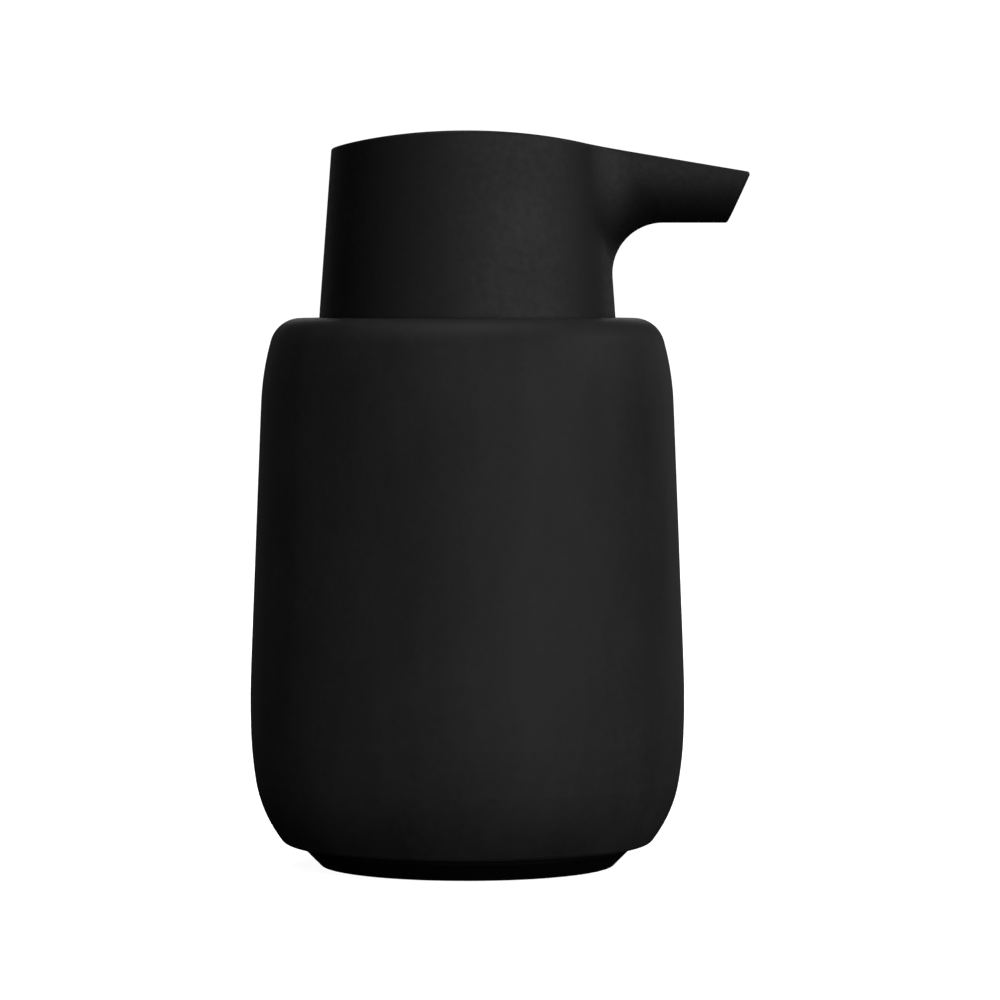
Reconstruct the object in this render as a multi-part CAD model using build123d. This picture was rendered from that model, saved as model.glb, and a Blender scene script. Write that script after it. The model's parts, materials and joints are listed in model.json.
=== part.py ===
"""Counter-top soap pump dispenser: a ceramic vessel with a drop-in lotion pump.

Frame: +Z up, +X the way the spout points, origin where the vessel's axis meets the surface it stands on.
Turned pieces are drawn as an outline of (radius, height) points and revolved about Z.
All sizes are in millimetres. One STEP file per piece goes to parts/.
"""

from build123d import *
import math
import os

# ---------------------------------------------------------------- vessel
SHOULDER_Z = 108.4  # flat top of the ceramic
SHOULDER_FLAT_R = 32.9
SHOULDER_R = 6.2  # rounding from the flat top to the side
SHOULDER_TURN = 74.5  # degrees of that rounding
WAIST_R = 54.0  # slacker rounding that runs into the side
SIDE_SLOPE = 2.28  # degrees the side leans out on its way down
SIDE_LENGTH = 52.1
BELLY_R = 176.0  # carries the side round to the widest ring, 86 mm across
BELLY_TURN = 4.34
FLANK_R = 75.0  # eases the belly into the heel
FLANK_TURN = 7.0
HEEL_R = 26.3
HEEL_TURN = 28.46
UNDER_R = 2.0  # tight corner on to the underside
WELL_R = 30.0  # well in the top that the pump head dives into
WELL_FLOOR_Z = 92.4
MOUTH_ROUND = 0.7
THROAT_R = 26.5  # hole in the well's floor that the pump unit plugs
THROAT_BOTTOM_Z = 86.4
CAVITY_FLOOR_Z = 9.0
CAVITY_FLOOR_R = 34.4
CAVITY_R = 38.0  # reservoir, where it is widest
CAVITY_TOP_R = 35.4
CAVITY_LOW_Z = 23.0  # the widest stretch lies between these two heights
CAVITY_HIGH_Z = 35.0
KICK_R = 22.0  # shallow hollow under the base, inside the foot ring
KICK_DEPTH = 1.4

# ---------------------------------------------------------------- foot ring
FOOT_HEIGHT = 3.9
FOOT_TOP_R = 32.4
FOOT_BOTTOM_R = 29.0
FOOT_INNER_R = 24.6
TONGUE_INNER_R = 27.0
TONGUE_OUTER_R = 29.0
TONGUE_HEIGHT = 2.0
FOOT_EDGE = 0.5  # height of the foot's upright rim below the ceramic

# ---------------------------------------------------------------- pump head
SKIRT_BOTTOM_Z = 105.4  # hidden 3 mm down in the well
SKIRT_R = 29.3  # level with the vessel's top
SKIRT_TAPER = 4.2  # degrees
SKIRT_WALL = 2.2
ROOF_WALL = 2.4
CROWN_Z = 144.5
CROWN_R = 132.0  # radius of the top, which curves along X only
SPOUT_SLOPE = 9.5  # degrees, where the crown's arc runs into the spout's straight top
SPOUT_UNDER_Z = 127.15
SPOUT_ROUND_DEPTH = 11.0  # height of the rounded underside
SPOUT_ROOT_HALF = 9.0  # half width of the spout inside the skirt
SPOUT_TIP_HALF = 7.0
SPOUT_TIP_X = 55.7  # top corner of the end face
SPOUT_TIP_Z = 137.0
SPOUT_LEAN = 24.0  # degrees the end face leans back below
SPOUT_FILLET = 10.0  # between the spout and the skirt
HEAD_ROUND = 0.6  # on the head's sharp edges
SPOUT_WALL = 2.4
SPOUT_CORE_END_X = 45.2  # the hollow in the spout stops here
SPOUT_BORE_Z = 131.8
SPOUT_BORE_R = 2.8
NOZZLE_SEAT_X = 47.0
NOZZLE_R = 3.6
BOSS_R = 7.0
BOSS_BOTTOM_Z = 135.4
PEG_R = 4.6  # elbow's peg in the head's boss
PEG_TOP_Z = 140.4
RIB_THICKNESS = 1.2
RIB_BOTTOM_Z = 134.6
ELBOW_R = 6.0
ELBOW_BOTTOM_Z = 121.2
CHAMBER_R = 2.9  # room over the discharge valve
CHAMBER_TOP_Z = 134.7

# ---------------------------------------------------------------- carrier plug and its seal
NECK_BORE_R = 10.6
NECK_ROOT_R = 12.8  # threaded neck
NECK_CREST_R = 13.7
NECK_TOP_Z = 104.2
COVER_R = 29.1  # flange that lies over the well's floor
COVER_BOTTOM_Z = 93.2
COVER_TOP_Z = 95.2
SPIGOT_INNER_R = 22.6  # round wall that reaches down through the throat
SPIGOT_R = 24.4
SPIGOT_LIP_R = 25.0
SPIGOT_BOTTOM_Z = 86.8
COVER_RIB_HEIGHT = 5.6
SLEEVE_R = 25.2  # soft sleeve between its lips
SLEEVE_BOTTOM_Z = 87.7
LIP_ROOTS_Z = (88.3, 90.3)
LIP_GAP = 0.08
WASHER_R = 28.6

# ---------------------------------------------------------------- pump
NUT_BORE_R = 14.0
NUT_CREST_R = 13.05
NUT_R = 16.0
NUT_RIBS = 36
NUT_RIB_R = 0.45
NUT_BOTTOM_Z = 96.2
NUT_TOP_Z = 109.2
NUT_EYE_R = 9.4  # hole in the nut's roof
THREAD_PITCH = 4.2
THREAD_TURNS = 1.4
THREAD_START_Z = 97.2
THREAD_WIDTH = 1.4
BARREL_R = 8.4
BARREL_BORE_R = 7.0
BARREL_FLOOR_Z = 75.5
TAIL_R = 4.6  # socket for the dip tube under the barrel
FLANGE_R = 12.4  # flanges clamped between neck and nut
FLANGE_BOTTOM_Z = 105.0
FLANGE_Z = 106.4  # where housing and guide meet
FLANGE_TOP_Z = 107.8
GUIDE_BOTTOM_Z = 100.6
GUIDE_SLEEVE_R = 5.6
GUIDE_FLOOR_Z = 106.0
GUIDE_TOP_Z = 111.5
WIPER_BOTTOM_Z = 109.7
WIPER_R = 5.2
VENT_Z = 97.4
VENT_R = 0.6
RUNNING_GAP = 0.05
STEM_R = 3.6
STEM_BORE_R = 1.8
STEM_BOTTOM_Z = 95.4
STEM_TOP_Z = 129.0
COLLAR_BOTTOM_Z = 99.6  # stem collar that stops against the guide
COLLAR_TOP_Z = 100.55
COLLAR_R = 6.3
PISTON_BOTTOM_Z = 95.6
PISTON_TOP_Z = 99.5
PISTON_CORE_R = 4.9
PISTON_WAIST_R = 5.6
GRIP_GAP = 0.02  # between pieces pressed together
SNAP_Z = 127.6  # groove round the stem that the head's elbow snaps into
INLET_BALL_R = 2.4
INLET_SEAT_R = 1.5
INLET_SEAT_Z = 68.8
INLET_BORE_R = 3.1
OUTLET_BALL_R = 2.2
OUTLET_SEAT_R = 1.3
OUTLET_SEAT_Z = 122.4
OUTLET_BORE_R = 2.75
BALL_GAP = 0.02
BALL_STOP_R = 0.9
TUBE_R = 3.0
TUBE_BORE_R = 2.1
TUBE_BOTTOM_Z = 12.5
TUBE_TOP_Z = 67.4
TAIL_BOTTOM_Z = 58.0
RETAINER_TOP_Z = 76.9
RETAINER_POST_R = 3.5
RETAINER_POST_TOP_Z = 81.0
SPRING_TOP_Z = 94.2
SPRING_COIL_R = 4.3
SPRING_WIRE_R = 0.4
SPRING_TURNS = 7
DELIVERY_R = 2.5
DELIVERY_BORE_R = 1.6
O_RING_R = 4.25
O_RING_WIRE_R = 0.6
O_RING_Z = 123.9


# ---------------------------------------------------------------- helpers
def spun(face):
    """Solid of revolution about Z, with the seam of its surfaces at +Y, away from spout and side holes."""
    return Rot(0, 0, 90) * revolve(Plane.XZ * face, axis=Axis.Z)


def turned(points, rounds=None):
    """Spun solid from a closed (radius, height) outline; rounds gives a corner's radius by its index."""
    radii = [(rounds or {}).get(index, 0) for index in range(len(points))]
    return spun(make_face(FilletPolyline(*points, radius=radii, close=True)))


def ring(inner, outer, bottom, top, edge=0.0):
    """Plain ring; edge rounds its four corners."""
    points = [(inner, bottom), (outer, bottom), (outer, top), (inner, top)]
    return turned(points, dict.fromkeys(range(4), edge))


def disc(radius, bottom, top):
    """Plain upright cylinder."""
    return Pos(0, 0, (bottom + top) / 2) * Cylinder(radius, top - bottom)


def bar(radius, x_from, x_to, z):
    """Cylinder lying along X."""
    return Pos((x_from + x_to) / 2, 0, z) * Rot(0, 90, 0) * Cylinder(radius, x_to - x_from)


def around(shape, count, phase=0.0):
    """Copies of a shape spaced evenly about Z."""
    return [Rot(0, 0, phase + 360.0 * index / count) * shape for index in range(count)]


def side_prism(face_points):
    """Prism across the whole object whose outline is drawn in the side view, as (x, z) points."""
    face = make_face(Polyline(*face_points, close=True))
    return extrude(Plane.XZ * face, amount=60, both=True)


def thread_ridge(core_r, crest_r, bottom):
    """Helical ridge that stands on a neck, or hangs in a bore when crest_r is the smaller radius."""
    height = crest_r - core_r
    sink = math.copysign(0.3, height)
    path = Helix(THREAD_PITCH, THREAD_PITCH * THREAD_TURNS, core_r, center=(0, 0, bottom))
    half = THREAD_WIDTH / 2
    section = Polyline((-sink, -half), (height, -half / 2), (height, half / 2), (-sink, half), close=True)
    start = Plane(origin=path @ 0, x_dir=(1, 0, 0), z_dir=path % 0)
    return sweep(start * make_face(section), path=path, is_frenet=True)


# ---------------------------------------------------------------- vessel
def vessel_outer():
    """Outer face of the ceramic, walked from the flat top down to the underside in tangent arcs."""
    shoulder = JernArc((SHOULDER_FLAT_R, SHOULDER_Z), (1, 0), SHOULDER_R, -SHOULDER_TURN)
    waist = JernArc(shoulder @ 1, shoulder % 1, WAIST_R, -(90 - SIDE_SLOPE - SHOULDER_TURN))
    side = Line(waist @ 1, waist @ 1 + (waist % 1) * SIDE_LENGTH)
    belly = JernArc(side @ 1, side % 1, BELLY_R, -BELLY_TURN)
    flank = JernArc(belly @ 1, belly % 1, FLANK_R, -FLANK_TURN)
    heel = JernArc(flank @ 1, flank % 1, HEEL_R, -HEEL_TURN)
    left_to_turn = 90 + SIDE_SLOPE - BELLY_TURN - FLANK_TURN - HEEL_TURN
    under = JernArc(heel @ 1, heel % 1, UNDER_R, -left_to_turn)
    return [shoulder, waist, side, belly, flank, heel, under]


def vessel():
    """Ceramic body: closed shell with a stepped well in its top and a groove for the foot underneath."""
    walls = vessel_outer()
    under = walls[-1] @ 1
    base = Polyline(under, (FOOT_TOP_R, FOOT_HEIGHT), (0, FOOT_HEIGHT), (0, SHOULDER_Z), walls[0] @ 0)
    body = spun(make_face([*walls, base]))
    cavity = turned(
        [
            (0, CAVITY_FLOOR_Z),
            (CAVITY_FLOOR_R, CAVITY_FLOOR_Z),
            (CAVITY_R, CAVITY_LOW_Z),
            (CAVITY_R, CAVITY_HIGH_Z),
            (CAVITY_TOP_R, THROAT_BOTTOM_Z),
            (0, THROAT_BOTTOM_Z),
        ],
        {1: 9.0, 2: 16.0, 3: 60.0, 4: 6.0},
    )
    well = turned(
        [
            (0, THROAT_BOTTOM_Z - 1),
            (THROAT_R, THROAT_BOTTOM_Z - 1),
            (THROAT_R, WELL_FLOOR_Z),
            (WELL_R, WELL_FLOOR_Z),
            (WELL_R, SHOULDER_Z - MOUTH_ROUND),
            (WELL_R + MOUTH_ROUND, SHOULDER_Z),
            (WELL_R + MOUTH_ROUND, SHOULDER_Z + 1),
            (0, SHOULDER_Z + 1),
        ],
        {2: 0.4, 3: 0.8, 4: 0.6},
    )
    tongue_top = FOOT_HEIGHT + TONGUE_HEIGHT + RUNNING_GAP
    groove = ring(TONGUE_INNER_R - RUNNING_GAP, TONGUE_OUTER_R + RUNNING_GAP, FOOT_HEIGHT - 1, tongue_top)
    kick_edge_z = FOOT_HEIGHT + KICK_DEPTH - 0.6
    kick = turned([(0, 0), (KICK_R, 0), (KICK_R - 1, kick_edge_z), (0, FOOT_HEIGHT + KICK_DEPTH)], {2: 3.0})
    return body - cavity - well - groove - kick


def foot_ring():
    """Soft ring that the vessel stands on, tapered inward to the table, with a tongue up into the ceramic."""
    tongue_top = FOOT_HEIGHT + TONGUE_HEIGHT
    return turned(
        [
            (FOOT_INNER_R + 0.6, 0),
            (FOOT_BOTTOM_R, 0),
            (FOOT_TOP_R, FOOT_HEIGHT - FOOT_EDGE),
            (FOOT_TOP_R, FOOT_HEIGHT),
            (TONGUE_OUTER_R, FOOT_HEIGHT),
            (TONGUE_OUTER_R, tongue_top),
            (TONGUE_INNER_R, tongue_top),
            (TONGUE_INNER_R, FOOT_HEIGHT),
            (FOOT_INNER_R, FOOT_HEIGHT),
        ],
        {0: 0.3, 1: 0.5, 5: 0.3, 6: 0.3},
    )


# ---------------------------------------------------------------- pump head
def skirt_cone(bottom, top, inset):
    """Solid of the skirt's taper between two heights, inset by a wall's thickness."""
    fall = math.tan(math.radians(SKIRT_TAPER))
    low = SKIRT_R - (bottom - SHOULDER_Z) * fall - inset
    high = SKIRT_R - (top - SHOULDER_Z) * fall - inset
    return turned([(0, bottom), (low, bottom), (high, top), (0, top)])


def under_crown(depth, reach):
    """Space below the crown, or below a face that lies depth under it, as far as X = reach."""
    radius = CROWN_R - depth
    centre_z = CROWN_Z - CROWN_R
    back_x = -SKIRT_R - 2
    back_z = centre_z + math.sqrt(radius**2 - back_x**2)
    slope = math.radians(SPOUT_SLOPE)
    bend = (radius * math.sin(slope), centre_z + radius * math.cos(slope))
    end_z = bend[1] - (reach - bend[0]) * math.tan(slope)
    floor_z = SKIRT_BOTTOM_Z - 5
    arc = ThreePointArc((back_x, back_z), (0, centre_z + radius), bend)
    rest = Polyline(bend, (reach, end_z), (reach, floor_z), (back_x, floor_z), (back_x, back_z))
    return extrude(Plane.XZ * make_face([arc, rest]), amount=60, both=True)


def beyond_tip(inset):
    """Space past the spout's leaning end face, or past a plane set back from it."""
    run = math.tan(math.radians(SPOUT_LEAN))
    high = SPOUT_TIP_Z + 20
    low = SPOUT_UNDER_Z - 20
    high_x = SPOUT_TIP_X - inset + (high - SPOUT_TIP_Z) * run
    low_x = SPOUT_TIP_X - inset + (low - SPOUT_TIP_Z) * run
    return side_prism([(high_x, high), (low_x, low), (high_x + 30, low), (high_x + 30, high)])


def spout_section(half, x, inset):
    """D-shaped section of the spout: half an ellipse below, upright sides above; inset by a wall."""
    top = CROWN_Z + 10
    low = SPOUT_UNDER_Z + SPOUT_ROUND_DEPTH
    side = half - inset
    outline = [
        EllipticalCenterArc((0, low), side, SPOUT_ROUND_DEPTH - inset, start_angle=180, arc_size=180),
        Polyline((side, low), (side, top), (-side, top), (-side, low)),
    ]
    return Plane(origin=(x, 0, 0), x_dir=(0, 1, 0), z_dir=(1, 0, 0)) * make_face(outline)


def spout_bar(inset):
    """Spout from inside the skirt to past its end, open upward until the crown cuts it."""
    root = spout_section(SPOUT_ROOT_HALF, 5, inset)
    tip = spout_section(SPOUT_TIP_HALF, SPOUT_TIP_X + 6, inset)
    return loft([root, tip])


def head_outer():
    """Outer solid of the head: tapered skirt and spout blended, cut by the crown and the end face."""
    top = CROWN_Z + 10
    joined = skirt_cone(SKIRT_BOTTOM_Z, top, 0) + spout_bar(0)
    seam = [
        edge
        for edge in joined.edges()
        if 20 < edge.center().X < 32 and abs(edge.center().Y) < 10 and edge.center().Z < top - 0.1
    ]
    blended = fillet(seam, SPOUT_FILLET)
    shaped = (blended & under_crown(0, SPOUT_TIP_X + 20)) - beyond_tip(0)
    crown = [face for face in shaped.faces() if face.normal_at(face.center()).Z > 0.9]
    end = [face for face in shaped.faces() if face.center().X > SPOUT_TIP_X - 6 and face.is_planar]
    bend_x = CROWN_R * math.sin(math.radians(SPOUT_SLOPE))
    sharp = [
        edge
        for face in crown + end
        for edge in face.edges()
        if edge.geom_type != GeomType.LINE or edge.center().X > bend_x + 1
    ]
    return fillet(sharp, HEAD_ROUND)


def head_shell():
    """Moulded head: hollow skirt and spout under a curved roof, ribbed boss for the elbow, nozzle seat."""
    hollow = skirt_cone(SKIRT_BOTTOM_Z - 1, CROWN_Z, SKIRT_WALL) + spout_bar(SPOUT_WALL)
    inside = hollow & under_crown(ROOF_WALL, SPOUT_CORE_END_X)
    boss = disc(BOSS_R, BOSS_BOTTOM_Z, CROWN_Z)
    rib = Pos((SKIRT_R + BOSS_R) / 2 - 1, 0, (RIB_BOTTOM_Z + CROWN_Z) / 2) * Box(
        SKIRT_R - BOSS_R, RIB_THICKNESS, CROWN_Z - RIB_BOTTOM_Z
    )
    inside = inside - boss - around(rib, 6, 30)
    socket = disc(PEG_R + RUNNING_GAP, BOSS_BOTTOM_Z - 1, PEG_TOP_Z + 0.2)
    bore = bar(SPOUT_BORE_R, BOSS_R, SPOUT_TIP_X + 5, SPOUT_BORE_Z)
    seat = bar(NOZZLE_R + RUNNING_GAP, NOZZLE_SEAT_X, SPOUT_TIP_X + 5, SPOUT_BORE_Z)
    return head_outer() - inside - socket - bore - seat


def delivery_elbow():
    """Turns the flow from the stem into the spout: socket that snaps on the stem, side port, ball stop."""
    bore = STEM_R + RUNNING_GAP
    groove = O_RING_R + O_RING_WIRE_R + RUNNING_GAP
    groove_half = 0.9
    body = turned(
        [
            (bore, ELBOW_BOTTOM_Z),
            (ELBOW_R, ELBOW_BOTTOM_Z),
            (ELBOW_R, BOSS_BOTTOM_Z),
            (PEG_R, BOSS_BOTTOM_Z),
            (PEG_R, PEG_TOP_Z),
            (0, PEG_TOP_Z),
            (0, CHAMBER_TOP_Z),
            (CHAMBER_R, CHAMBER_TOP_Z),
            (CHAMBER_R, STEM_TOP_Z + 0.2),
            (bore, STEM_TOP_Z + 0.2),
            (bore, SNAP_Z + 0.5),
            (STEM_R - 0.1, SNAP_Z + 0.2),
            (STEM_R - 0.1, SNAP_Z - 0.2),
            (bore, SNAP_Z - 0.5),
            (bore, O_RING_Z + groove_half),
            (groove, O_RING_Z + groove_half),
            (groove, O_RING_Z - groove_half),
            (bore, O_RING_Z - groove_half),
        ],
        {1: 0.4, 4: 0.4},
    )
    port = bar(3.5, 4.5, 8.5, SPOUT_BORE_Z)
    passage = bar(DELIVERY_R + RUNNING_GAP, 1.5, 9, SPOUT_BORE_Z)
    stop = disc(BALL_STOP_R, 128.0, 135.5)
    return body + port - passage + stop


def socket_o_ring():
    """O-ring between the stem and the elbow."""
    return Pos(0, 0, O_RING_Z) * Torus(O_RING_R, O_RING_WIRE_R)


def delivery_tube():
    """Stiff tube from the elbow to the nozzle."""
    return bar(DELIVERY_R, 5.0, 50.0, SPOUT_BORE_Z) - bar(DELIVERY_BORE_R, 4.0, 51.0, SPOUT_BORE_Z)


def nozzle_tip():
    """Plug in the spout's end: holds the tube and carries the outlet hole."""
    body = bar(NOZZLE_R, NOZZLE_SEAT_X, SPOUT_TIP_X + 5, SPOUT_BORE_Z)
    body -= bar(DELIVERY_R + RUNNING_GAP, NOZZLE_SEAT_X - 1, 50.0, SPOUT_BORE_Z)
    body -= bar(DELIVERY_BORE_R, 49.0, SPOUT_TIP_X + 6, SPOUT_BORE_Z)
    return body - beyond_tip(0.5)


# ---------------------------------------------------------------- plunger
def stem():
    """Hollow plunger rod with its stop collar, snap groove and outlet valve seat."""
    ball_room = OUTLET_BORE_R - OUTLET_SEAT_R
    return turned(
        [
            (STEM_BORE_R, STEM_BOTTOM_Z),
            (STEM_R, STEM_BOTTOM_Z),
            (STEM_R, COLLAR_BOTTOM_Z),
            (COLLAR_R, COLLAR_BOTTOM_Z),
            (COLLAR_R, COLLAR_TOP_Z),
            (STEM_R, COLLAR_TOP_Z),
            (STEM_R, SNAP_Z - 0.8),
            (STEM_R - 0.2, SNAP_Z - 0.6),
            (STEM_R - 0.2, SNAP_Z + 0.6),
            (STEM_R, SNAP_Z + 0.8),
            (STEM_R, STEM_TOP_Z),
            (OUTLET_BORE_R, STEM_TOP_Z),
            (OUTLET_BORE_R, OUTLET_SEAT_Z + ball_room),
            (OUTLET_SEAT_R, OUTLET_SEAT_Z),
            (OUTLET_SEAT_R, OUTLET_SEAT_Z - 1.0),
            (STEM_BORE_R, OUTLET_SEAT_Z - 1.0),
        ],
        {3: 0.2, 4: 0.2, 10: 0.3},
    )


def piston():
    """Soft piston gripping the stem, with a lip down and a lip up that wipe the barrel."""
    bore = STEM_R + GRIP_GAP
    tip = BARREL_BORE_R - RUNNING_GAP
    low = PISTON_BOTTOM_Z
    high = PISTON_TOP_Z
    return turned(
        [
            (bore, low),
            (PISTON_CORE_R, low),
            (PISTON_CORE_R, low + 0.9),
            (tip - 0.5, low - 0.7),
            (tip, low - 0.7),
            (tip, low - 0.2),
            (PISTON_WAIST_R, low + 1.6),
            (PISTON_WAIST_R, high - 1.8),
            (tip, high - 0.5),
            (tip, high - 0.1),
            (tip - 0.4, high - 0.1),
            (PISTON_CORE_R, high - 1.2),
            (PISTON_CORE_R, high),
            (bore, high),
        ]
    )


def piston_seat():
    """Plug pressed into the stem's foot: carries the piston and centres the spring."""
    bore = 1.0
    pilot_r = SPRING_COIL_R - SPRING_WIRE_R - 0.5
    plug_r = STEM_BORE_R - GRIP_GAP
    foot_z = SPRING_TOP_Z - 1.2
    plug_top_z = STEM_BOTTOM_Z + 2.6
    return turned(
        [
            (bore, foot_z),
            (pilot_r, foot_z),
            (pilot_r, SPRING_TOP_Z),
            (SPRING_COIL_R + 0.7, SPRING_TOP_Z),
            (SPRING_COIL_R + 0.7, STEM_BOTTOM_Z),
            (plug_r, STEM_BOTTOM_Z),
            (plug_r, plug_top_z),
            (bore, plug_top_z),
        ],
        {1: 0.3, 6: 0.2},
    )


def ball_on_seat(radius, seat_r, seat_z):
    """Valve ball resting on a 45 degree seat that starts at the given radius and height."""
    return Pos(0, 0, seat_z - seat_r + radius * math.sqrt(2) + BALL_GAP) * Sphere(radius)


# ---------------------------------------------------------------- pump unit
def carrier_plug():
    """Cover over the reservoir: flange on the well's floor, spigot in the throat, threaded neck."""
    plate_z = COVER_BOTTOM_Z + 0.2
    body = turned(
        [
            (NECK_BORE_R, plate_z),
            (SPIGOT_INNER_R, plate_z),
            (SPIGOT_INNER_R, SPIGOT_BOTTOM_Z),
            (SPIGOT_LIP_R, SPIGOT_BOTTOM_Z),
            (SPIGOT_LIP_R, SPIGOT_BOTTOM_Z + 0.5),
            (SPIGOT_R, SPIGOT_BOTTOM_Z + 0.8),
            (SPIGOT_R, COVER_BOTTOM_Z),
            (COVER_R, COVER_BOTTOM_Z),
            (COVER_R, COVER_TOP_Z),
            (NECK_ROOT_R, COVER_TOP_Z),
            (NECK_ROOT_R, NECK_TOP_Z),
            (NECK_BORE_R, NECK_TOP_Z),
        ],
        {8: 0.5, 9: 0.6, 10: 0.3},
    )
    rib_from = NECK_BORE_R + 0.2
    rib_to = SPIGOT_INNER_R + 0.4
    rib_z = plate_z + 0.5 - COVER_RIB_HEIGHT / 2
    rib = Pos((rib_from + rib_to) / 2, 0, rib_z) * Box(rib_to - rib_from, RIB_THICKNESS, COVER_RIB_HEIGHT)
    return body + around(rib, 6) + thread_ridge(NECK_ROOT_R, NECK_CREST_R, THREAD_START_Z)


def plug_seal():
    """Soft sleeve round the spigot: two lips against the throat and a washer under the flange."""
    inner = SPIGOT_R + RUNNING_GAP
    tip = THROAT_R - LIP_GAP
    lips = []
    for root in LIP_ROOTS_Z:
        lips += [(SLEEVE_R, root), (tip, root + 0.3), (tip, root + 0.6), (SLEEVE_R, root + 1.2)]
    return turned(
        [
            (inner, SLEEVE_BOTTOM_Z),
            (SLEEVE_R, SLEEVE_BOTTOM_Z),
            *lips,
            (SLEEVE_R, WELL_FLOOR_Z),
            (WASHER_R, WELL_FLOOR_Z),
            (WASHER_R, COVER_BOTTOM_Z),
            (inner, COVER_BOTTOM_Z),
        ]
    )


def pump_housing():
    """Barrel hung in the carrier's neck, with the inlet valve seat and the dip tube's socket at its foot."""
    ball_room = INLET_BORE_R - INLET_SEAT_R
    body = turned(
        [
            (BARREL_BORE_R, FLANGE_Z),
            (BARREL_BORE_R, BARREL_FLOOR_Z),
            (INLET_BORE_R, BARREL_FLOOR_Z),
            (INLET_BORE_R, INLET_SEAT_Z + ball_room),
            (INLET_SEAT_R, INLET_SEAT_Z),
            (INLET_SEAT_R, TUBE_TOP_Z + 0.1),
            (TUBE_R + RUNNING_GAP, TUBE_TOP_Z + 0.1),
            (TUBE_R + RUNNING_GAP, TAIL_BOTTOM_Z),
            (TAIL_R, TAIL_BOTTOM_Z),
            (TAIL_R, BARREL_FLOOR_Z - 5.5),
            (BARREL_R, BARREL_FLOOR_Z - 1.0),
            (BARREL_R, FLANGE_BOTTOM_Z),
            (FLANGE_R, FLANGE_BOTTOM_Z),
            (FLANGE_R, FLANGE_Z),
        ],
        {8: 0.4, 9: 1.0, 10: 2.0, 12: 0.2},
    )
    return body - bar(VENT_R, -BARREL_R - 1, BARREL_R + 1, VENT_Z)


def stem_guide():
    """Guide that closes the barrel, stops the stem's collar and carries the wiper."""
    bore = STEM_R + 2 * RUNNING_GAP
    sleeve_outer = BARREL_BORE_R - 2 * GRIP_GAP
    collar_r = WIPER_R + 2.0
    pocket_r = WIPER_R + RUNNING_GAP
    return turned(
        [
            (bore, GUIDE_FLOOR_Z),
            (GUIDE_SLEEVE_R, GUIDE_FLOOR_Z),
            (GUIDE_SLEEVE_R, GUIDE_BOTTOM_Z),
            (sleeve_outer, GUIDE_BOTTOM_Z),
            (sleeve_outer, FLANGE_Z),
            (FLANGE_R, FLANGE_Z),
            (FLANGE_R, FLANGE_TOP_Z),
            (collar_r, FLANGE_TOP_Z),
            (collar_r, GUIDE_TOP_Z),
            (pocket_r, GUIDE_TOP_Z),
            (pocket_r, WIPER_BOTTOM_Z),
            (bore, WIPER_BOTTOM_Z),
        ],
        {6: 0.3, 7: 0.4, 8: 0.4},
    )


def closure_nut():
    """Ribbed nut that clamps the housing and the guide down on the carrier's neck."""
    body = turned(
        [
            (NUT_BORE_R, NUT_BOTTOM_Z),
            (NUT_R, NUT_BOTTOM_Z),
            (NUT_R, NUT_TOP_Z),
            (NUT_EYE_R, NUT_TOP_Z),
            (NUT_EYE_R, FLANGE_TOP_Z),
            (NUT_BORE_R, FLANGE_TOP_Z),
        ],
        {1: 0.4, 2: 1.2, 3: 0.3},
    )
    rib = Pos(NUT_R, 0, 0) * disc(NUT_RIB_R, NUT_BOTTOM_Z + 0.6, NUT_TOP_Z - 1.6)
    ridge = thread_ridge(NUT_BORE_R, NUT_CREST_R, THREAD_START_Z + THREAD_PITCH / 2)
    return body + around(rib, NUT_RIBS) + ridge


def ball_retainer():
    """Slotted disc over the inlet ball: stops the ball and carries the spring round its post."""
    rim_r = BARREL_BORE_R - 2 * RUNNING_GAP
    post_bore_r = RETAINER_POST_R - 0.9
    outline = [
        (0, BARREL_FLOOR_Z - 0.8),
        (BALL_STOP_R, BARREL_FLOOR_Z - 0.8),
        (BALL_STOP_R, BARREL_FLOOR_Z),
        (rim_r, BARREL_FLOOR_Z),
        (rim_r, RETAINER_TOP_Z),
        (RETAINER_POST_R, RETAINER_TOP_Z),
        (RETAINER_POST_R, RETAINER_POST_TOP_Z),
        (post_bore_r, RETAINER_POST_TOP_Z),
        (post_bore_r, RETAINER_TOP_Z),
        (0, RETAINER_TOP_Z),
    ]
    hole = Pos(1.75, 0, 0) * disc(0.6, BARREL_FLOOR_Z - 1, RETAINER_TOP_Z + 1)
    return turned(outline, {6: 0.3}) - around(hole, 4, 45)


def return_spring():
    """Open coil between the retainer and the piston seat."""
    height = SPRING_TOP_Z - RETAINER_TOP_Z - 2 * SPRING_WIRE_R
    start_z = RETAINER_TOP_Z + SPRING_WIRE_R
    path = Helix(height / SPRING_TURNS, height, SPRING_COIL_R, center=(0, 0, start_z))
    wire = Plane(origin=path @ 0, z_dir=path % 0) * Circle(SPRING_WIRE_R)
    return sweep(wire, path=path, is_frenet=True)


def dip_tube():
    """Suction tube down to the reservoir's floor, cut on the slant at its lower end."""
    tube = ring(TUBE_BORE_R, TUBE_R, TUBE_BOTTOM_Z, TUBE_TOP_Z)
    slant = side_prism([(-10, TUBE_BOTTOM_Z - 1), (10, TUBE_BOTTOM_Z - 1), (-10, TUBE_BOTTOM_Z + 7.5)])
    return tube - slant


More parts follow.
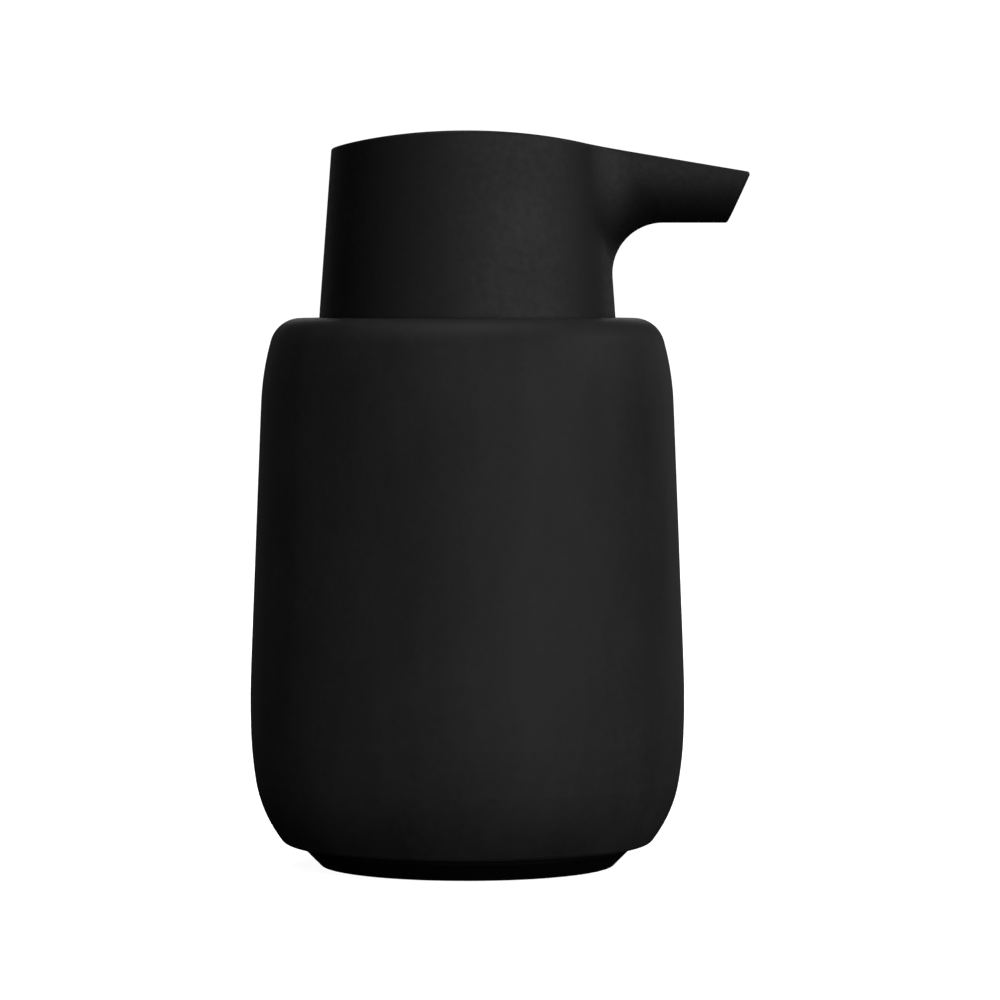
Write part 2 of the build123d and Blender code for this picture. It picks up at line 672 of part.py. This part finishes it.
PIECES = {
    "vessel": vessel,
    "foot_ring": foot_ring,
    "carrier_plug": carrier_plug,
    "plug_seal": plug_seal,
    "neck_gasket": lambda: ring(BARREL_R + 0.2, FLANGE_R, NECK_TOP_Z, FLANGE_BOTTOM_Z),
    "pump_housing": pump_housing,
    "ball_retainer": ball_retainer,
    "inlet_ball": lambda: ball_on_seat(INLET_BALL_R, INLET_SEAT_R, INLET_SEAT_Z),
    "dip_tube": dip_tube,
    "return_spring": return_spring,
    "stem_guide": stem_guide,
    "stem_wiper": lambda: ring(STEM_R + RUNNING_GAP, WIPER_R, WIPER_BOTTOM_Z, GUIDE_TOP_Z - 0.2, 0.2),
    "closure_nut": closure_nut,
    "stem": stem,
    "piston": piston,
    "piston_seat": piston_seat,
    "discharge_ball": lambda: ball_on_seat(OUTLET_BALL_R, OUTLET_SEAT_R, OUTLET_SEAT_Z),
    "head_shell": head_shell,
    "delivery_elbow": delivery_elbow,
    "socket_o_ring": socket_o_ring,
    "delivery_tube": delivery_tube,
    "nozzle_tip": nozzle_tip,
}

if __name__ == "__main__":
    os.makedirs("parts", exist_ok=True)
    for name, build in PIECES.items():
        piece = build()
        export_step(piece, f"parts/{name}.step")
        print(f"{name}: {len(piece.solids())} solid(s), {piece.volume:.0f} mm3")
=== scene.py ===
import json
import math

import bpy
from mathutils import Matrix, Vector


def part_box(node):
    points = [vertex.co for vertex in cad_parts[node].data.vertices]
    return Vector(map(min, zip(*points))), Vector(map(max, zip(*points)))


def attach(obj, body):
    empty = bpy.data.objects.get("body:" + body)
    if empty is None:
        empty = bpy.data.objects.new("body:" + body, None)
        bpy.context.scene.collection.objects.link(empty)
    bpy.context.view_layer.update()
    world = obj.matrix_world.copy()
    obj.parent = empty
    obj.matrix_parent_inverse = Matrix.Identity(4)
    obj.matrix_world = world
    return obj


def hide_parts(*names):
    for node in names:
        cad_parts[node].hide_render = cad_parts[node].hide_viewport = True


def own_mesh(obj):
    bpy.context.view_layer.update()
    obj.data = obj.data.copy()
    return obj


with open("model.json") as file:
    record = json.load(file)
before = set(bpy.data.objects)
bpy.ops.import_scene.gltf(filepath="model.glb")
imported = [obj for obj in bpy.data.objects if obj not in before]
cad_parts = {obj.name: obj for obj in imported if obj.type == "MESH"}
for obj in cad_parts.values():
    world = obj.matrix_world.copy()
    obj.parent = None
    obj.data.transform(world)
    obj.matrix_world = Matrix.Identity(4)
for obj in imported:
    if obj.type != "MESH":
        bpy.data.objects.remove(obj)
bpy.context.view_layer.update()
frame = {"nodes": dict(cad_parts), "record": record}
NODES = frame["nodes"]
MM = 0.001

# the camera stands a little above the object's middle, far off, with a long lens
CAMERA_PLACE = (0.00645, -0.973, 0.1127)
CAMERA_TARGET = (0.00645, 0.0, 0.07233)
CAMERA_LENS = 177.04  # mm, on a sensor 36 mm wide

# softboxes round the object: name, azimuth, elevation, power in W
# azimuth 0 is the camera's side and 90 is the side that the spout points to
SOFTBOXES = (
    ("left", -60, 5, 0.23),
    ("front_left", -30, 5, 0.36),
    ("front", 0, 5, 0.85),
    ("front_right", 30, 5, 1.9),
    ("right", 60, 5, 1.3),
    ("high_right", 90, 30, 1.6),
    ("high_left", -30, 52, 0.68),
    ("above", 0, 88, 2.3),
    ("rim_left", -150, 5, 0.12),
    ("rim_right", 145, 5, 0.3),
    ("back", 180, 22, 1.3),
)

# lights of the floor alone: name, strength, whether they cast the object's shadow
FLOOR_LIGHTS = (
    ("floor_fill", 3.6, False),
    ("floor_key", 0.6, True),
)

# sockets of a Mix node that is set to colours
MIX_FACTOR, MIX_FIRST, MIX_SECOND, MIX_RESULT = 0, 6, 7, 2


# ---------------------------------------------------------------- small helpers
def link(obj):
    bpy.context.scene.collection.objects.link(obj)
    return obj


def aim(obj, target):
    """Turns an object so that its -Z looks at a point, with its Y up."""
    obj.rotation_euler = (Vector(target) - obj.location).to_track_quat("-Z", "Y").to_euler()


# ---------------------------------------------------------------- camera, light and floor
def make_camera():
    data = bpy.data.cameras.new("camera")
    data.sensor_width = 36.0
    data.lens = CAMERA_LENS
    data.clip_start = 0.05
    data.clip_end = 100.0
    camera = link(bpy.data.objects.new("camera", data))
    camera.location = CAMERA_PLACE
    aim(camera, CAMERA_TARGET)
    bpy.context.scene.camera = camera


def softbox(name, azimuth, elevation, power):
    """Square softbox on a sphere round the object, facing its middle."""
    side = 0.5
    distance = 1.2
    middle = Vector((0, 0, 0.07))
    turn, rise = math.radians(azimuth), math.radians(elevation)
    way = Vector((math.sin(turn) * math.cos(rise), -math.cos(turn) * math.cos(rise), math.sin(rise)))
    data = bpy.data.lights.new(name, "AREA")
    data.shape = "SQUARE"
    data.size = side
    data.energy = power
    lamp = link(bpy.data.objects.new(name, data))
    lamp.location = middle + distance * way
    lamp.visible_camera = False
    aim(lamp, middle)


def make_stage():
    """Pale floor that runs out of sight, lit by lights of its own.

    The black object would mirror it, so it is kept out of the object's reflections.
    """
    mesh = bpy.data.meshes.new("floor")
    reach = 40.0
    corners = [(-reach, -reach, 0), (reach, -reach, 0), (reach, reach, 0), (-reach, reach, 0)]
    mesh.from_pydata(corners, [], [(0, 1, 2, 3)])
    floor = link(bpy.data.objects.new("floor", mesh))
    floor.visible_glossy = False
    floor.visible_diffuse = False
    floor.visible_shadow = False
    material = bpy.data.materials.new("floor")
    material.use_nodes = True
    shader = material.node_tree.nodes["Principled BSDF"]
    shader.inputs["Base Color"].default_value = (0.9, 0.9, 0.9, 1)
    shader.inputs["Roughness"].default_value = 0.9
    shader.inputs["Specular IOR Level"].default_value = 0.1
    mesh.materials.append(material)

    floor_only = bpy.data.collections.new("floor_only")
    floor_only.objects.link(floor)
    for name, strength, shadow in FLOOR_LIGHTS:
        sun = bpy.data.lights.new(name, "SUN")
        sun.energy = strength
        sun.angle = math.radians(50)  # wide, for a soft shadow
        sun.use_shadow = shadow
        lamp = link(bpy.data.objects.new(name, sun))
        lamp.location = (0, 0, 2)
        lamp.light_linking.receiver_collection = floor_only


def make_light():
    """White world that only the camera sees, and the ring of softboxes that lights the object."""
    world = bpy.data.worlds.new("studio")
    bpy.context.scene.world = world
    world.use_nodes = True
    nodes, links = world.node_tree.nodes, world.node_tree.links
    background = nodes["Background"]
    background.inputs["Color"].default_value = (1, 1, 1, 1)
    path = nodes.new("ShaderNodeLightPath")
    strength = nodes.new("ShaderNodeMapRange")
    strength.inputs["To Min"].default_value = 0.0
    strength.inputs["To Max"].default_value = 1.05  # a little over white, so that it shows as plain white
    links.new(path.outputs["Is Camera Ray"], strength.inputs["Value"])
    links.new(strength.outputs["Result"], background.inputs["Strength"])

    for name, azimuth, elevation, power in SOFTBOXES:
        softbox(name, azimuth, elevation, power)


# ---------------------------------------------------------------- materials
class Recipe:
    """A node material under construction, with coordinates in the row frame's metres."""

    def __init__(self, name):
        self.material = bpy.data.materials.new(name)
        self.material.use_nodes = True
        self.nodes = self.material.node_tree.nodes
        self.links = self.material.node_tree.links
        self.shader = self.nodes["Principled BSDF"]
        self.place = self.nodes.new("ShaderNodeTexCoord").outputs["Object"]

    def noise(self, size, detail=3.0, roughness=0.5, stretch=(1, 1, 1)):
        """Cloud noise with features about size metres across, longer where stretch is below 1."""
        mapping = self.nodes.new("ShaderNodeMapping")
        mapping.inputs["Scale"].default_value = stretch
        self.links.new(self.place, mapping.inputs["Vector"])
        node = self.nodes.new("ShaderNodeTexNoise")
        node.inputs["Scale"].default_value = 1.0 / size
        node.inputs["Detail"].default_value = detail
        node.inputs["Roughness"].default_value = roughness
        self.links.new(mapping.outputs["Vector"], node.inputs["Vector"])
        return node.outputs["Fac"]

    def specks(self, size, radius):
        """1 inside small round specks spaced about size apart, 0 between them."""
        node = self.nodes.new("ShaderNodeTexVoronoi")
        node.inputs["Scale"].default_value = 1.0 / size
        self.links.new(self.place, node.inputs["Vector"])
        return self.remap(node.outputs["Distance"], (0.0, radius), (1.0, 0.0))

    def remap(self, value, source, target):
        """Straight map of one range to another, held at its ends."""
        node = self.nodes.new("ShaderNodeMapRange")
        node.inputs["From Min"].default_value, node.inputs["From Max"].default_value = source
        node.inputs["To Min"].default_value, node.inputs["To Max"].default_value = target
        self.links.new(value, node.inputs["Value"])
        return node.outputs["Result"]

    def combine(self, operation, first, second):
        node = self.nodes.new("ShaderNodeMath")
        node.operation = operation
        for socket, value in zip(node.inputs, (first, second)):
            if isinstance(value, (int, float)):
                socket.default_value = value
            else:
                self.links.new(value, socket)
        return node.outputs["Value"]

    def weigh(self, *shares):
        """Sum of (value, weight) pairs."""
        total = None
        for value, weight in shares:
            part = self.combine("MULTIPLY", value, weight)
            total = part if total is None else self.combine("ADD", total, part)
        return total

    def colour(self, factor, dark, light):
        node = self.nodes.new("ShaderNodeMix")
        node.data_type = "RGBA"
        node.inputs[MIX_FIRST].default_value = (*dark, 1)
        node.inputs[MIX_SECOND].default_value = (*light, 1)
        self.links.new(factor, node.inputs[MIX_FACTOR])
        self.links.new(node.outputs[MIX_RESULT], self.shader.inputs["Base Color"])

    def rough(self, factor, low, high):
        """Roughness from low to high over the middle of the factor's range."""
        self.links.new(self.remap(factor, (0.3, 0.7), (low, high)), self.shader.inputs["Roughness"])

    def bump(self, height, depth, before=None):
        """Relief of a depth in metres, on top of an earlier one if that is given."""
        node = self.nodes.new("ShaderNodeBump")
        node.inputs["Strength"].default_value = 1.0
        node.inputs["Distance"].default_value = depth
        self.links.new(height, node.inputs["Height"])
        if before is not None:
            self.links.new(before, node.inputs["Normal"])
        self.links.new(node.outputs["Normal"], self.shader.inputs["Normal"])
        return node.outputs["Normal"]

    def specular(self, level):
        self.shader.inputs["Specular IOR Level"].default_value = level


def black_ceramic():
    """Matt black glaze: fine dry grain, slow cloudiness with soft upright runs, a few pinholes."""
    m = Recipe("black_ceramic")
    clouds = m.noise(22 * MM, 4)
    grain = m.noise(0.28 * MM, 2)
    mottle = m.noise(1.6 * MM, 5, 0.6)
    runs = m.noise(7 * MM, 3, 0.5, (1, 1, 0.25))
    pits = m.specks(3.2 * MM, 0.06)
    tone = m.weigh((clouds, 0.4), (mottle, 0.3), (runs, 0.3))
    m.colour(m.remap(tone, (0.35, 0.65), (0.0, 1.0)), (0.0235, 0.0235, 0.0237), (0.0415, 0.0415, 0.0417))
    m.rough(m.weigh((clouds, 0.5), (mottle, 0.5)), 0.55, 0.65)
    slow = m.bump(m.noise(9 * MM, 2), 0.05 * MM)
    fine = m.bump(grain, 0.012 * MM, slow)
    m.bump(m.combine("MULTIPLY", pits, -1.0), 0.03 * MM, fine)
    m.specular(0.35)
    return m.material


def black_plastic():
    """Black moulding with a fine spark-eroded texture."""
    m = Recipe("black_plastic")
    grain = m.noise(0.22 * MM, 3, 0.6)
    clouds = m.noise(14 * MM, 3)
    m.colour(grain, (0.0026, 0.0026, 0.0027), (0.0040, 0.0040, 0.0041))
    mottle = m.noise(1.4 * MM, 4, 0.6)
    m.rough(m.weigh((clouds, 0.4), (mottle, 0.6)), 0.51, 0.67)
    m.bump(mottle, 0.03 * MM, m.bump(grain, 0.016 * MM))
    m.specular(0.7)
    return m.material


def black_rubber(name):
    """Dull black elastomer with a fine grain and a trace of bloom."""
    m = Recipe(name)
    grain = m.noise(0.3 * MM, 3)
    bloom = m.noise(4 * MM, 4, 0.6)
    m.colour(bloom, (0.0025, 0.0025, 0.0026), (0.0050, 0.0050, 0.0051))
    m.rough(grain, 0.66, 0.82)
    m.bump(grain, 0.02 * MM)
    m.specular(0.12)
    return m.material


def white_plastic(name, dark, light, low, high, depth=0.008):
    """Pale moulding that light enters a little, with soft flow streaks and a fine grain of depth mm."""
    m = Recipe(name)
    flow = m.noise(6 * MM, 3, 0.5, (1, 1, 0.3))
    grain = m.noise(0.35 * MM, 2)
    m.colour(flow, dark, light)
    m.rough(flow, low, high)
    m.bump(grain, depth * MM)
    m.shader.inputs["Subsurface Weight"].default_value = 0.25
    m.shader.inputs["Subsurface Scale"].default_value = 1.5 * MM
    return m.material


def tube_plastic():
    """Clear extruded tube, faintly streaked along its length."""
    m = Recipe("tube_plastic")
    streaks = m.noise(0.6 * MM, 2, 0.5, (1, 1, 0.02))
    m.colour(streaks, (0.80, 0.83, 0.84), (0.92, 0.94, 0.94))
    m.rough(streaks, 0.12, 0.24)
    m.bump(streaks, 0.01 * MM)
    m.shader.inputs["Transmission Weight"].default_value = 0.75
    return m.material


def steel():
    """Bright drawn steel with fine lines."""
    m = Recipe("steel")
    drawn = m.noise(0.12 * MM, 3, 0.6, (1, 1, 0.25))
    m.colour(drawn, (0.52, 0.52, 0.53), (0.70, 0.70, 0.71))
    m.rough(drawn, 0.16, 0.30)
    m.bump(drawn, 0.004 * MM)
    m.shader.inputs["Metallic"].default_value = 1.0
    return m.material


def finishes():
    """The material of each slot in the record."""
    return {
        "black_ceramic": black_ceramic(),
        "black_rubber": black_rubber("black_rubber"),
        "black_silicone": black_rubber("black_silicone"),
        "black_plastic": black_plastic(),
        "pump_plastic": white_plastic("pump_plastic", (0.70, 0.70, 0.68), (0.80, 0.80, 0.78), 0.30, 0.42),
        "seal_plastic": white_plastic("seal_plastic", (0.62, 0.66, 0.70), (0.74, 0.78, 0.82), 0.38, 0.5),
        "foam": white_plastic("foam", (0.66, 0.66, 0.64), (0.82, 0.82, 0.80), 0.8, 0.95, 0.08),
        "tube_plastic": tube_plastic(),
        "steel": steel(),
    }


def dress_nodes(looks):
    """Gives every CAD node the material of its slot."""
    for entry in frame["record"]["subparts"]:
        slots = NODES[entry["node"]].data.materials
        for index in range(len(slots)):
            slots[index] = looks[entry["material_slot"]]


# ---------------------------------------------------------------- return spring
def smooth_step(value):
    """0 below 0, 1 above 1, and a smooth rise between them."""
    value = min(max(value, 0.0), 1.0)
    return value * value * (3 - 2 * value)


def coil_heights(turns, per_turn, height, wire):
    """Heights of a compression spring's wire: close-wound at each end, open between."""
    count = turns * per_turn
    closed_turns = 1.1  # at each end
    ease = 0.6  # turns over which the coil opens
    pitches = []
    for step in range(count):
        turn = (step + 0.5) / per_turn
        inward = min(turn, turns - turn)
        pitches.append(smooth_step((inward - closed_turns) / ease))
    closed_pitch = 1.04 * wire  # neighbouring turns stay just clear of each other
    # open_pitch is what a fully open turn rises beyond a closed one
    open_pitch = (height - closed_pitch * turns) * per_turn / sum(pitches)
    heights = [0.0]
    for opening in pitches:
        heights.append(heights[-1] + (closed_pitch + open_pitch * opening) / per_turn)
    return heights


def return_spring(look):
    """Steel spring with closed ends ground flat, in place of the CAD coil."""
    low, high = (Vector(corner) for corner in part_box("return_spring"))
    wire = 0.8 * MM
    radius = (high.x - low.x - wire) / 2
    turns, per_turn, sides = 9, 48, 16
    sunk = 0.28 * wire  # from the ground face to the middle of the wire's end
    rise = coil_heights(turns, per_turn, high.z - low.z - 2 * sunk, wire)
    points, faces = [], []
    for step, height in enumerate(rise):
        angle = math.tau * step / per_turn
        for side in range(sides):
            around = math.tau * side / sides
            reach = radius + wire / 2 * math.cos(around)
            z = low.z + sunk + height + wire / 2 * math.sin(around)
            z = min(max(z, low.z), high.z)
            points.append((reach * math.cos(angle), reach * math.sin(angle), z))
    for step in range(len(rise) - 1):
        for side in range(sides):
            here, there = step * sides + side, step * sides + (side + 1) % sides
            faces.append((here, here + sides, there + sides, there))
    faces.append(tuple(range(sides)))
    faces.append(tuple(reversed(range(len(points) - sides, len(points)))))
    mesh = bpy.data.meshes.new("spring_coil")
    mesh.from_pydata(points, [], faces)
    mesh.polygons.foreach_set("use_smooth", [True] * len(mesh.polygons))
    mesh.materials.append(look)
    spring = link(bpy.data.objects.new("spring_coil", mesh))
    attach(spring, "pump_unit")
    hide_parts("return_spring")
    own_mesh(spring)


make_camera()
make_stage()
make_light()
looks = finishes()
dress_nodes(looks)
return_spring(looks["steel"])
bpy.context.scene.view_settings.view_transform = "Standard"
